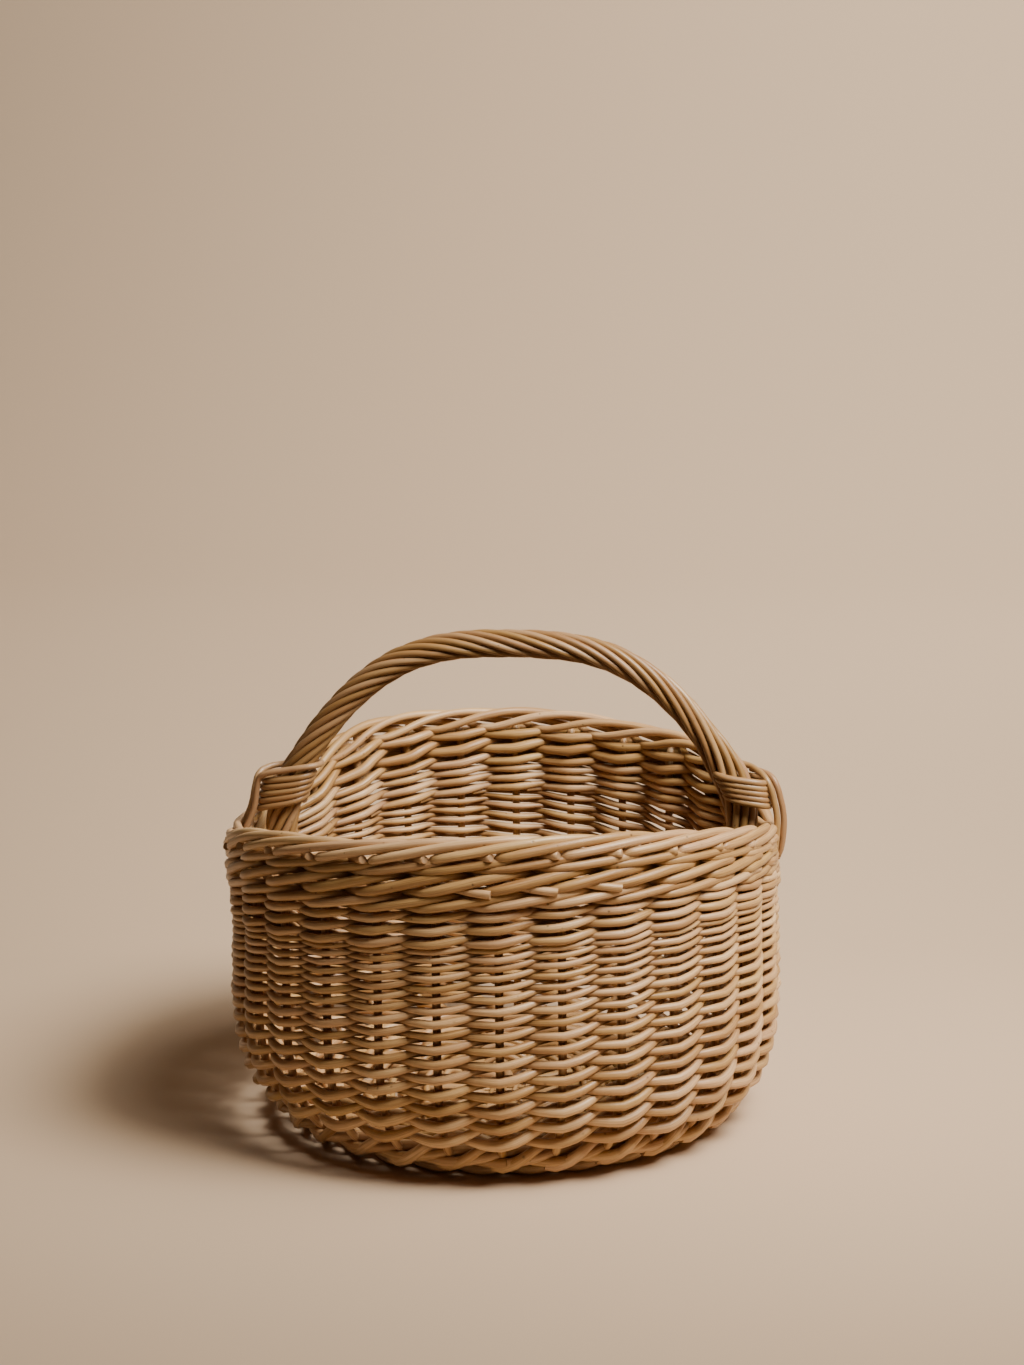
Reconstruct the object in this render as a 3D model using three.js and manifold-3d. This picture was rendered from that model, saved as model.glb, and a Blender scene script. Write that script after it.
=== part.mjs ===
// A round willow apple picking basket with a roped bow handle over the top.
// Millimetres, +Z up. The origin is the middle of the base on the ground, the
// handle stands in the XZ plane and the front of the basket faces -Y.
import * as THREE from "three";
import { mergeVertices } from "three/addons/utils/BufferGeometryUtils.js";
import Module from "manifold-3d";

const wasm = await Module();
wasm.setup();

// Body
const bodyRadius = 200; // outer face of the randing on the straight side
const footRadius = 146; // where the side leaves the ground
const bellyHeight = 96; // where the side stops widening
const rodGap = 0.35; // clearance between rods that lie on each other

// Border and its dips near the handle
const rimHeight = 258; // top of the border at its highest
const rimDip = 44; // how much lower the border runs in the dips
const rimDipPower = 1.05; // how narrow the dips are
const rimTurn = 12; // degrees from the handle feet to the dips
const borderHeight = 18;
const borderRodDiameter = 5.8;
const borderPassed = 3.2; // stakes that one border stroke passes
const borderSweep = 205; // degrees that it turns over the border meanwhile

// Stakes, each laid down into the border at its top
const stakeCount = 28;
const stakeDiameter = 6.5;
const stakeTurn = 5; // degrees from the front to the first stake
const footStakeReach = 10; // stretch beside a base stick, inside the foot coil
const footDiameter = 8.5; // coil that the basket stands on
const footFlat = 0.9; // how far the coil is worn flat

// Randing: one weaver for each stake, in front of one and behind the next
const randTop = 179; // where it ends, at the front and back
const randDip = 14; // how much lower it ends near the handle
const randRounds = 16;
const randThickness = 3.8;
const randClearance = 0.9; // between weavers and stakes, for the curve of the foot
const randCoarseness = 0.27; // bottom rows are this share coarser than the mean
const randCrowding = 0.8; // rows crowd together inside the curved foot
const randStart = 0.03; // share of the side line below the first crossing

// Top wale: thick rods in front of two stakes and behind one
const waleThickness = 5.4;
const waleWidestRod = 8.5;
const walePassed = 5; // stakes that one wale rod passes
const waleAboveRand = 8; // the stakes show bare in this band
const waleBelowBorder = 0.6;

// Base: sticks pushed through slit sticks, then fanned out and woven
const stickDiameter = 7.5;
const stickSpacing = 8.2;
const slitHeight = 3.6;
const slathHalf = 24; // where the sticks begin to fan out
const slathPinch = 0.8; // share of it over which the piercing sticks are flattened
const fanRadius = 50; // where they have fanned out
const baseWeaveStart = 53;
const baseWeavePitch = 13;
const baseWeaveHeight = 4.4;

// Bow handle
const handleCrown = 352.5; // centre line at the crown
const handleHalfSpanLeft = 161;
const handleHalfSpanRight = 168.5; // its right side bulges further out
const handleRise = 103; // crown over the centre line at the half span
const handlePower = 2.87; // how square the shoulders are
const handleOverhang = 1.02; // how far past the half span the arch runs before its legs
const handleShift = 4; // the bow was bent a little off centre
const handleCoreDiameter = 11.4;
const ropeRods = 9;
const ropeRodThickness = 4;
const ropeRodWidth = 5.3;
const ropeTurns = 3.7; // at the left foot's lay, which the right foot doesn't keep up
const ropeSlack = 0.2; // share by which the lay has slackened at the right foot
const ropeEnd = 197; // height where the rope rods end, inside the rim
const coreEnd = 165; // height where the bow ends, against the inner wall
const coreBend = 18; // height over which the bow bends out to that wall

// Ears, and the bindings that tie the bow to them
const earDiameter = 5.5;
const earEndHeight = 190;
const earStandHeight = 245; // where the ear has come in to the binding
const earHook = 13; // how far its top bends in over the binding
const earSeat = 0.75; // the wraps' corners let the ears come this much closer
const bindingTurns = 5;
const bindingDiameter = 5.2;
const bindingBottom = 233.5;
const bindingTop = 257.5;
const bindingTilt = 3; // the wraps lie this much higher inside and lower outside
const bindingReachLeft = 183; // their outer end on the left, at middle height
const bindingReachRight = 191;
const bindingTaper = 2.6; // how much further out the lowest wrap reaches
const bindingSquareness = 0.7; // below 1 the wraps bulge towards their corners
const bindingSlack = 1.9; // the wraps stand this far off the rope rods

const tau = Math.PI * 2;
const radians = THREE.MathUtils.degToRad;
const lerp = THREE.MathUtils.lerp;
const up = new THREE.Vector3(0, 0, 1);
const basket = new THREE.Group();

function willow(colour, roughness) {
  return new THREE.MeshStandardMaterial({ color: colour, roughness, metalness: 0 });
}
const peeled = willow(0xd6b083, 0.5);
const shaded = willow(0xb98f63, 0.6);
const thick = willow(0xc9a173, 0.45);

function addNode(name, geometry, material, parent = basket) {
  const mesh = new THREE.Mesh(geometry, material);
  mesh.name = name;
  parent.add(mesh);
}

// Solids are joined and cut with shared vertices and no normals.
function toSolid(geometry) {
  const bare = geometry.index ? geometry.toNonIndexed() : geometry.clone();
  bare.deleteAttribute("normal");
  bare.deleteAttribute("uv");
  const merged = mergeVertices(bare, 1e-4);
  return new wasm.Manifold(
    new wasm.Mesh({
      numProp: 3,
      vertProperties: merged.attributes.position.array,
      triVerts: new Uint32Array(merged.index.array),
    }),
  );
}

function toGeometry(solid) {
  const mesh = solid.getMesh();
  const geometry = new THREE.BufferGeometry();
  geometry.setAttribute("position", new THREE.BufferAttribute(mesh.vertProperties, 3));
  geometry.setIndex(new THREE.BufferAttribute(mesh.triVerts, 1));
  return geometry;
}

// A rod through a row of sections. A section has a centre and two half-axes,
// and the rod runs along their cross product.
function rodThrough(sections, sides, closedRing = false) {
  const points = [];
  const faces = [];
  for (const { centre, first, second } of sections) {
    for (let k = 0; k < sides; k += 1) {
      const turn = (tau * k) / sides;
      const point = centre.clone().addScaledVector(first, Math.cos(turn));
      points.push(point.addScaledVector(second, Math.sin(turn)));
    }
  }
  const total = sections.length;
  for (let i = 0; i < (closedRing ? total : total - 1); i += 1) {
    const here = i * sides;
    const there = ((i + 1) % total) * sides;
    for (let k = 0; k < sides; k += 1) {
      const next = (k + 1) % sides;
      faces.push(here + k, here + next, there + next, here + k, there + next, there + k);
    }
  }
  const last = (total - 1) * sides;
  for (let k = 1; k + 1 < sides && !closedRing; k += 1) {
    faces.push(0, k + 1, k, last, last + k, last + k + 1);
  }
  const geometry = new THREE.BufferGeometry().setFromPoints(points);
  geometry.setIndex(faces);
  return geometry;
}

// A round rod through points, its sections carried along without twisting
function roundRod(points, radiusAt, sides, firstDirection) {
  const first = firstDirection.clone();
  const sections = points.map((centre, i) => {
    const before = points[Math.max(i - 1, 0)];
    const after = points[Math.min(i + 1, points.length - 1)];
    const travel = after.clone().sub(before).normalize();
    first.addScaledVector(travel, -first.dot(travel)).normalize();
    const radius = radiusAt(i / (points.length - 1));
    return {
      centre,
      first: first.clone().multiplyScalar(radius),
      second: travel.clone().cross(first).multiplyScalar(radius),
    };
  });
  return rodThrough(sections, sides);
}

// How far a rod's middle lies from the middle of the rod that it crosses, so
// that its slanting stretches clear it
function crossingOffset(crossedRadius, halfThickness, spacing, clearance = rodGap) {
  let offset = crossedRadius + halfThickness + clearance;
  for (let i = 0; i < 4; i += 1) {
    const slant = Math.cos(Math.atan((2 * offset) / spacing));
    offset = halfThickness + (crossedRadius + clearance) / slant;
  }
  return offset;
}

// Places on the basket

const stakeStep = tau / stakeCount;
const stakeRadius = stakeDiameter / 2;
const stakeLineRadius = bodyRadius - randThickness - randClearance - stakeRadius;
const stakeLineFloor = footDiameter - footFlat + rodGap + stakeRadius;
const stakeFootRadius = footRadius - footDiameter / 2 - footStakeReach;
const borderHalf = borderHeight / 2;
const waleSpacing = stakeLineRadius * stakeStep;
const waleOffset = crossingOffset(stakeRadius, waleThickness / 2, waleSpacing);
const waleReach = waleOffset + waleThickness / 2;

// Away from the basket's axis: angle 0 is the front, and it grows to the right
function away(angle) {
  return new THREE.Vector3(Math.sin(angle), -Math.cos(angle), 0);
}

function stakeAngle(index) {
  return radians(stakeTurn) + index * stakeStep;
}

// 0 where the border is highest, 1 in its dips
function dipAt(angle) {
  return 1 - Math.abs(Math.cos(angle - radians(rimTurn))) ** rimDipPower;
}

function rimTop(angle) {
  return rimHeight - rimDip * dipAt(angle);
}

function randEnd(angle) {
  return randTop - randDip * dipAt(angle);
}

// The side's profile: a quarter ellipse out of the foot, then straight up
function sideLine() {
  const line = new THREE.Path();
  const width = stakeLineRadius - footRadius;
  const height = bellyHeight - stakeLineFloor;
  line.absellipse(footRadius, bellyHeight, width, height, -Math.PI / 2, 0);
  line.lineTo(stakeLineRadius, randTop);
  return line;
}

// A place on that profile, turned to an angle: its point, the way up the side,
// the way out of it, and how much the dips squeeze the straight part there
function placeOnSide(line, share, angle) {
  const point = line.getPointAt(share);
  const rise = line.getTangentAt(share);
  const straight = Math.max(point.y - bellyHeight, 0);
  const squeeze = (randEnd(angle) - bellyHeight) / (randTop - bellyHeight);
  const radial = away(angle);
  return {
    centre: radial.clone().multiplyScalar(point.x).setZ(point.y - straight * (1 - squeeze)),
    rise: radial.clone().multiplyScalar(rise.x).setZ(rise.y),
    out: radial.clone().multiplyScalar(rise.y).setZ(-rise.x),
    spacing: point.x * stakeStep,
    squeeze: straight > 0 ? squeeze : 1,
  };
}

// Base

// The crossed sticks number a quarter of the stakes: each end takes a pair.
const stickCount = stakeCount / 4;
const slitSticks = Math.ceil(stickCount / 2);
const piercingSticks = stickCount - slitSticks;
const fanStep = tau / (2 * stickCount);
const firstEnd = ((slitSticks + 1) % 2) / 2;

// One half of a stick's outline, mirrored to make the other
function stickPoints(lane) {
  const reach = footRadius - footDiameter / 2 - rodGap * 2;
  const direction = lane * fanStep;
  const side = lane * stickSpacing;
  const half = [
    new THREE.Vector3(slathHalf * slathPinch, side, 0),
    new THREE.Vector3(slathHalf, side, 0),
    new THREE.Vector3(fanRadius * Math.cos(direction), fanRadius * Math.sin(direction), 0),
    new THREE.Vector3(reach * Math.cos(direction), reach * Math.sin(direction), 0),
  ];
  const mirrored = half.map((p) => new THREE.Vector3(-p.x, p.y, 0)).reverse();
  return [...mirrored, ...half];
}

function baseStick(lane, middleHeight) {
  const points = stickPoints(lane);
  const sections = points.map((centre, i) => {
    const before = points[Math.max(i - 1, 0)];
    const after = points[Math.min(i + 1, points.length - 1)];
    const travel = after.clone().sub(before).normalize();
    const inMiddle = i === points.length / 2 - 1 || i === points.length / 2;
    return {
      centre,
      first: up.clone().cross(travel).multiplyScalar(stickDiameter / 2),
      second: up.clone().multiplyScalar((inMiddle ? middleHeight : stickDiameter) / 2),
    };
  });
  return rodThrough(sections, 6);
}

function addBaseSticks(base) {
  const slitWidth = (piercingSticks - 1) * stickSpacing + stickDiameter + rodGap * 4;
  const slit = toSolid(new THREE.BoxGeometry(slitWidth, slathHalf * 4, slitHeight));
  for (let i = 0; i < slitSticks; i += 1) {
    const stick = toSolid(baseStick(i - (slitSticks - 1) / 2, stickDiameter));
    addNode(`base_stick_slit_${i + 1}`, toGeometry(stick.subtract(slit)), shaded, base);
  }
  const piercing = new THREE.Group();
  piercing.rotation.z = Math.PI / 2;
  base.add(piercing);
  for (let i = 0; i < piercingSticks; i += 1) {
    const stick = baseStick(i - (piercingSticks - 1) / 2, slitHeight - rodGap * 2);
    addNode(`base_stick_piercing_${i + 1}`, stick, shaded, piercing);
  }
}

// Two weavers wind outwards over and under the sticks, half a turn apart.
function addBaseWeavers(base) {
  const half = baseWeavePitch / 4 - rodGap / 2;
  const end = stakeFootRadius - half - rodGap;
  const steps = Math.floor(((end - baseWeaveStart) / baseWeavePitch) * 2 * stickCount);
  for (let w = 0; w < 2; w += 1) {
    const sections = [];
    for (let n = 0; n <= steps; n += 1) {
      const angle = fanStep * (n + firstEnd) + Math.PI * w;
      const radius = baseWeaveStart + (baseWeavePitch * n) / (2 * stickCount);
      const outwards = new THREE.Vector3(Math.cos(angle), Math.sin(angle), 0);
      const offset = crossingOffset(stickDiameter / 2, baseWeaveHeight / 2, radius * fanStep);
      sections.push({
        centre: outwards.clone().multiplyScalar(radius).setZ(n % 2 === 0 ? offset : -offset),
        first: up.clone().multiplyScalar(baseWeaveHeight / 2),
        second: outwards.clone().multiplyScalar(half),
      });
    }
    addNode(`base_weaver_${w + 1}`, rodThrough(sections, 4), peeled, base);
  }
}

function addBase() {
  const base = new THREE.Group();
  base.position.z = stakeLineFloor;
  base.rotation.z = stakeAngle(0.5) - Math.PI / 2 - firstEnd * fanStep;
  basket.add(base);
  addBaseSticks(base);
  addBaseWeavers(base);
}

// Stakes

// Beside a base stick, out over the foot coil, up the side, then over into
// the border: out at its bottom, up its outer face and down inside its top
function stakePoints(index) {
  const angle = stakeAngle(index);
  const towardsStick = index % 2 === 0 ? 1 : -1;
  const besideStick = (stickDiameter / 2 + stakeRadius + rodGap) / stakeFootRadius;
  const footAngle = angle + towardsStick * (stakeStep / 2 - besideStick);
  const points = [away(footAngle).multiplyScalar(stakeFootRadius).setZ(stakeLineFloor)];
  const bendSteps = 5;
  for (let i = 0; i <= bendSteps; i += 1) {
    const turn = (Math.PI / 2) * (i / bendSteps);
    const radius = footRadius + (stakeLineRadius - footRadius) * Math.sin(turn);
    const height = bellyHeight - (bellyHeight - stakeLineFloor) * Math.cos(turn);
    points.push(away(angle).multiplyScalar(radius).setZ(height));
  }
  const kink = rimTop(angle) - borderHeight + borderRodDiameter / 2;
  points.push(away(angle).multiplyScalar(stakeLineRadius).setZ(kink - stakeDiameter));
  return points;
}

function borderPoints(index) {
  const helix = borderHalf - borderRodDiameter / 2;
  const steps = 6;
  const points = [];
  for (let i = 0; i <= steps; i += 1) {
    const angle = stakeAngle(index + (borderPassed * i) / steps);
    const turn = radians(-90 + (borderSweep * i) / steps);
    const radius = stakeLineRadius + helix * Math.cos(turn);
    const height = rimTop(angle) - borderHalf + helix * Math.sin(turn);
    points.push(away(angle).multiplyScalar(radius).setZ(height));
  }
  return points;
}

function addStakes() {
  for (let i = 0; i < stakeCount; i += 1) {
    const upright = stakePoints(i);
    const stroke = borderPoints(i);
    const points = [...upright, ...stroke];
    const kinkShare = upright.length / (points.length - 1);
    const radiusAt = (share) => (share < kinkShare ? stakeRadius : borderRodDiameter / 2);
    const rod = roundRod(points, radiusAt, 4, up);
    addNode(`stake_${String(i + 1).padStart(2, "0")}`, rod, thick);
  }
}

// Randing

// The coil under the stakes, worn flat where it meets the ground
function footCoil() {
  const profile = [];
  const sides = 8;
  const radius = footDiameter / 2;
  for (let k = 0; k <= sides; k += 1) {
    const turn = (tau * (k + 0.5)) / sides;
    const height = Math.max(radius + radius * Math.sin(turn), footFlat) - footFlat;
    profile.push(new THREE.Vector2(footRadius + radius * Math.cos(turn), height));
  }
  return new THREE.LatheGeometry(profile, stakeCount).rotateX(Math.PI / 2);
}

// How far up the side a weaver is after passing some stakes, as a share
function randShare(passed) {
  const share = passed / (randRounds * 2);
  const eased = share * (1 + randCoarseness - randCoarseness * share);
  return randStart + (1 - randStart) * eased;
}

function randWeaver(line, index) {
  const steps = randRounds * 2;
  const sections = [];
  for (let n = 0; n <= steps; n += 1) {
    const angle = stakeAngle(index + n);
    const place = placeOnSide(line, randShare(n), angle);
    const half = randThickness / 2;
    const offset = crossingOffset(stakeRadius, half, place.spacing, randClearance);
    const inFront = n % 2 === 0;
    const lower = Math.min(n, steps - 1);
    const room = (randShare(lower + 1) - randShare(lower)) * line.getLength() * place.squeeze;
    const height = room * (inFront ? 1 : randCrowding) - rodGap;
    const centre = place.centre.addScaledVector(place.out, inFront ? offset : -offset);
    if (n === 0) {
      centre.copy(away(angle)).multiplyScalar(footRadius).setZ(footDiameter / 2 - footFlat);
    }
    sections.push({
      centre: centre.addScaledVector(place.rise, -height / 6),
      first: place.rise.multiplyScalar((height * 2) / 3),
      second: place.out.multiplyScalar(randThickness / Math.sqrt(3)),
    });
  }
  return rodThrough(sections, 3);
}

// The weavers' butts are caught in the foot coil, which makes them one node.
function addSideWeave() {
  const line = sideLine();
  let woven = toSolid(footCoil());
  for (let w = 0; w < stakeCount; w += 1) {
    woven = woven.add(toSolid(randWeaver(line, w)));
  }
  addNode("side_weave", toGeometry(woven), peeled);
}

// Top wale

function waleSection(angle, height, thickness, inFront) {
  const radial = away(angle);
  const radius = stakeLineRadius + (inFront ? waleOffset : -waleOffset);
  return {
    centre: radial.clone().multiplyScalar(radius).setZ(height - thickness / 6),
    first: up.clone().multiplyScalar((thickness * 2) / 3),
    second: radial.multiplyScalar(waleThickness / Math.sqrt(3)),
  };
}

function waleRod(index) {
  const sections = [];
  for (let n = 0; n <= walePassed; n += 1) {
    const angle = stakeAngle(index + n);
    const bottom = randEnd(angle) + waleAboveRand;
    const top = rimTop(angle) - borderHeight - waleWidestRod / 2 - waleBelowBorder;
    const rise = (top - bottom) / walePassed;
    const thickness = Math.min(rise - rodGap, waleWidestRod);
    const inFront = n === 0 ? index % 2 === 0 : n % 3 !== 0;
    sections.push(waleSection(angle, bottom + rise * n, thickness, inFront));
  }
  return rodThrough(sections, 3);
}

// A pairing row round every stake holds the wale rods' butts.
function pairingRow() {
  const sections = [];
  for (let n = 0; n < stakeCount; n += 1) {
    const angle = stakeAngle(n);
    const height = randEnd(angle) + waleAboveRand;
    sections.push(waleSection(angle, height, waleThickness, n % 2 === 0));
  }
  return rodThrough(sections, 3, true);
}

function addTopWale() {
  let wale = toSolid(pairingRow());
  for (let w = 0; w < stakeCount; w += 1) {
    wale = wale.add(toSolid(waleRod(w)));
  }
  addNode("top_wale", toGeometry(wale), thick);
}

// Bow handle

const ropeMiddle = handleCoreDiameter / 2 + rodGap * 2 + ropeRodThickness / 2;
const ropeReach = ropeMiddle + ropeRodThickness / 2;
const legRadius = stakeLineRadius - borderHalf - rodGap - ropeReach;
const coreLegRadius = stakeLineRadius - waleReach - rodGap - handleCoreDiameter / 2;

function archPoint(x) {
  const share = Math.abs(x / (x < 0 ? handleHalfSpanLeft : handleHalfSpanRight));
  const shift = handleShift * Math.max(1 - share * share, 0);
  return new THREE.Vector3(x + shift, 0, handleCrown - handleRise * share ** handlePower);
}

// The centre line: the arch, then down inside the border
function handleLine() {
  const archSteps = 8;
  const arch = [];
  for (let i = 0; i <= archSteps; i += 1) {
    const along = (2 * i) / archSteps - 1;
    const halfSpan = along < 0 ? handleHalfSpanLeft : handleHalfSpanRight;
    arch.push(archPoint(halfSpan * handleOverhang * along));
  }
  const legTop = arch[0].z - handleCoreDiameter;
  const left = [
    new THREE.Vector3(-legRadius, 0, ropeEnd),
    new THREE.Vector3(-legRadius, 0, legTop),
  ];
  const right = left.map((p) => new THREE.Vector3(-p.x, 0, p.z)).reverse();
  return new THREE.CatmullRomCurve3([...left, ...arch, ...right], false, "centripetal");
}

function handlePlaces(line) {
  const steps = 28;
  const places = [];
  for (let i = 0; i <= steps; i += 1) {
    const travel = line.getTangentAt(i / steps);
    places.push({
      centre: line.getPointAt(i / steps),
      above: new THREE.Vector3(-travel.z, 0, travel.x),
      share: i / steps,
    });
  }
  return places;
}

const front = new THREE.Vector3(0, -1, 0);

// The bow runs on below the rope rods and bends out to the inner wall.
function addBow(places) {
  const foot = (end) => [
    new THREE.Vector3(end * (legRadius + coreLegRadius) * 0.5, 0, ropeEnd - coreBend / 2),
    new THREE.Vector3(end * coreLegRadius, 0, ropeEnd - coreBend),
    new THREE.Vector3(end * coreLegRadius, 0, coreEnd),
  ];
  const middle = places.map((place) => place.centre);
  const points = [...foot(-1).reverse(), ...middle, ...foot(1)];
  addNode("handle_bow", roundRod(points, () => handleCoreDiameter / 2, 6, front), thick);
}

function addRopeRod(places, index) {
  const sections = places.map(({ centre, above, share }) => {
    const laid = share * (1 - ropeSlack * share * share);
    const turn = tau * (index / ropeRods + ropeTurns * laid);
    const outwards = above.clone().multiplyScalar(Math.cos(turn));
    outwards.addScaledVector(front, Math.sin(turn));
    const sideways = above.clone().multiplyScalar(-Math.sin(turn));
    sideways.addScaledVector(front, Math.cos(turn));
    return {
      centre: centre.clone().addScaledVector(outwards, ropeMiddle),
      first: outwards.multiplyScalar(ropeRodThickness / 2),
      second: sideways.multiplyScalar(ropeRodWidth / 2),
    };
  });
  addNode(`rope_rod_${index + 1}`, rodThrough(sections, 4), peeled);
}

function addHandle(line) {
  const places = handlePlaces(line);
  addBow(places);
  for (let k = 0; k < ropeRods; k += 1) {
    addRopeRod(places, k);
  }
}

// Ears and bindings

// How far out a binding's wraps reach at a share of its height
function bindingOuter(end, share) {
  const middle = end < 0 ? bindingReachLeft : bindingReachRight;
  return middle + bindingTaper * (1 - 2 * share);
}

// Each ear rod starts outside the wale, passes outside the border, leans in to
// the binding and bends over its top wrap.
function earPoints(end, y) {
  const clear = earDiameter / 2 + rodGap;
  const atBorder = stakeLineRadius + borderHalf + clear;
  const atWale = stakeLineRadius + waleReach + clear;
  const rim = rimTop((end * Math.PI) / 2);
  const beside = bindingOuter(end, 1) + bindingDiameter / 2 + clear - earSeat;
  const over = bindingTop - bindingTilt + bindingDiameter / 2 + clear;
  const outline = [
    [atWale, earEndHeight],
    [atBorder, rim - borderHeight],
    [atBorder, rim - borderHeight / 2],
    [atBorder, rim + earDiameter / 2],
    [beside + bindingTaper, earStandHeight],
    [beside, bindingTop - bindingTilt],
    [beside - earHook * 0.25, over],
    [beside - earHook, over + bindingTilt],
  ];
  return outline.map(([x, z]) => new THREE.Vector3(end * x, y, z));
}

// The distance from the axis at which a line of points passes a height
function radiusAtHeight(points, height) {
  for (let i = 0; i + 1 < points.length; i += 1) {
    const [lower, upper] = [points[i], points[i + 1]];
    if (lower.z <= height && height <= upper.z) {
      const share = (height - lower.z) / (upper.z - lower.z);
      return Math.abs(lower.x + (upper.x - lower.x) * share);
    }
  }
  return Math.abs(points[0].x);
}

// A coil round the bow's leg, out to the two ear rods
function bindingPoints(end, legLine) {
  const stand = bindingDiameter / 2 + rodGap + bindingSlack;
  const around = 12;
  const squarish = (value) => Math.sign(value) * Math.abs(value) ** bindingSquareness;
  const points = [];
  for (let i = 0; i <= bindingTurns * around; i += 1) {
    const turn = (tau * i) / around;
    const share = i / (bindingTurns * around);
    const height = bindingBottom + (bindingTop - bindingBottom) * share;
    const inner = radiusAtHeight(legLine, height + bindingTilt) - ropeReach - stand;
    const outer = bindingOuter(end, share);
    const x = (inner + outer) / 2 - ((outer - inner) / 2) * squarish(Math.cos(turn));
    const y = (ropeReach + stand) * squarish(Math.sin(turn));
    points.push(new THREE.Vector3(end * x, y, height + bindingTilt * Math.cos(turn)));
  }
  return points;
}

function addEars(line) {
  const lane = earDiameter / 2 + rodGap;
  const legPoints = line.getSpacedPoints(120);
  for (const [name, end] of [["left", -1], ["right", 1]]) {
    for (const [row, y] of [["front", -lane], ["back", lane]]) {
      const rod = roundRod(earPoints(end, y), () => earDiameter / 2, 6, front);
      addNode(`ear_${name}_${row}`, rod, peeled);
    }
    const leg = end < 0 ? legPoints.slice(0, 60) : legPoints.slice(61).reverse();
    const wraps = roundRod(bindingPoints(end, leg), () => bindingDiameter / 2, 4, up);
    addNode(`binding_${name}`, wraps, peeled);
  }
}

addBase();
addStakes();
addSideWeave();
addTopWale();
const bowLine = handleLine();
addHandle(bowLine);
addEars(bowLine);

export default basket;
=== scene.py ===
"""Looks of a round willow apple picking basket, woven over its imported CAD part."""
import math
import random

import bmesh
import bpy
from bpy.props import FloatProperty, FloatVectorProperty, PointerProperty
from mathutils import Euler, Matrix, Vector


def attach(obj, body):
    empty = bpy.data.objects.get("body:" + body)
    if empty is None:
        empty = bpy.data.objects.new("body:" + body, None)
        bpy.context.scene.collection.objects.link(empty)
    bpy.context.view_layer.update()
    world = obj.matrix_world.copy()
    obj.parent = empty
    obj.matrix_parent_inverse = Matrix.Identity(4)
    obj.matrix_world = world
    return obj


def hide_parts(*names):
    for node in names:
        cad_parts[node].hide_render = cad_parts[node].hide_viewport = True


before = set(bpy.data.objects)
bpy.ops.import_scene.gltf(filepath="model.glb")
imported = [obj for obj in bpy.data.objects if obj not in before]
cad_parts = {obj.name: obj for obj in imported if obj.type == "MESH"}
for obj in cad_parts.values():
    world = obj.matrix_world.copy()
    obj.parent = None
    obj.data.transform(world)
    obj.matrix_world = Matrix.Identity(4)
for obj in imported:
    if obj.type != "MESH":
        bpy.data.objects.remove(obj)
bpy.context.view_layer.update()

bl_info = {
    "name": "Apple Picking Basket",
    "version": (1, 0, 0),
    "blender": (4, 5, 0),
    "location": "3D View > Sidebar > Basket",
    "description": "Weaves a round willow picking basket over its solid frame",
    "category": "Object",
}

# Places on the basket, in metres, from the solid part. The rim, the end of the
# rand and the handle's feet are shaped more finely than there. Angle 0 is the
# front, and angles grow to the right.

# The stakes: their number, the first one's angle, their distance from the axis,
# where they bend up at the foot, their height in the base, and the height from
# which the wall stands upright
STAKES = 28
STEP = math.tau / STAKES
STAKE_TURN = math.radians(5)
STAKE_LINE = 0.19205
FOOT_RADIUS = 0.146
STAKE_FLOOR = 0.0112
BELLY_HEIGHT = 0.096
# How far the body bulges to the left
SWAY = 0.0026
# The rim: its height, its dip beside the handle, the dip's curve and its turn
RIM_HEIGHT, RIM_DIP, RIM_POWER = 0.258, 0.044, 1.05
RIM_TURN = math.radians(12)
# By angle, in degrees: how much higher the rim is than an even dip on each side
RIM_CHANGE = (
    (-180, 0.004), (-165, 0.004), (-152, 0.0055), (-140, 0.0065), (-130, 0.001),
    (-120, -0.006), (-110, -0.0125), (-100, -0.0155), (-90, -0.0105), (-80, -0.0015),
    (-70, 0.0035), (-60, 0.0055), (-50, 0.0052), (-40, 0.0035), (-30, 0.0012), (-20, 0.0),
    (100, 0.0), (115, 0.004), (128, 0.009), (142, 0.010), (158, 0.0045), (180, 0.004))
# The rand's end: its height, its dip with the rim, its lean and its rise at the back
RAND_TOP, RAND_DIP, RAND_LEAN, RAND_REAR = 0.179, 0.014, 0.006, 0.017
# How far the border reaches down, and how much less it stands out on the right
BORDER_DEPTH = 0.0146
RIGHT_INSET = 0.4
# The space that two rods keep where one crosses the other
CLEARANCE = 0.0001
# How near the stakes' line the painted shade deep in the weave starts, over what way it grows,
# and how far under the border
PAINTED_SHADE_REACH, PAINTED_SHADE_GROWS, PAINTED_SHADE_RIM = 0.0048, 0.0030, 0.003


def away(angle):
    """The level direction from the axis at an angle."""
    return Vector((math.sin(angle), -math.cos(angle), 0))


def stake_angle(index):
    return STAKE_TURN + index * STEP


def wall(angle):
    """The stakes' distance from the axis: the body bulges a little to the left."""
    return STAKE_LINE + SWAY * (1 - math.sin(angle))


def dip_at(angle):
    """How far the rim is down its dip: 1 beside the handle, 0 at front and back."""
    return 1 - abs(math.cos(angle - RIM_TURN)) ** RIM_POWER


def mix(first, second, share):
    return first + (second - first) * share


def between(table, place):
    """Reads a table of (place, value) rows, straight between its rows."""
    for (low, start), (high, end) in zip(table, table[1:]):
        if place <= high:
            return mix(start, end, (place - low) / (high - low))
    return table[-1][1]


def rim_top(angle):
    """The height of the border's top at an angle."""
    degrees = (math.degrees(angle) + 180) % 360 - 180
    dip = (RIM_DIP - SWAY * (1 - math.sin(angle))) * dip_at(angle)
    return RIM_HEIGHT - dip + between(RIM_CHANGE, degrees)


def standing_out(angle):
    """The share by which the border and the wale stand out, less on the right."""
    return 1 - RIGHT_INSET * max(math.sin(angle), 0) ** 3


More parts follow.
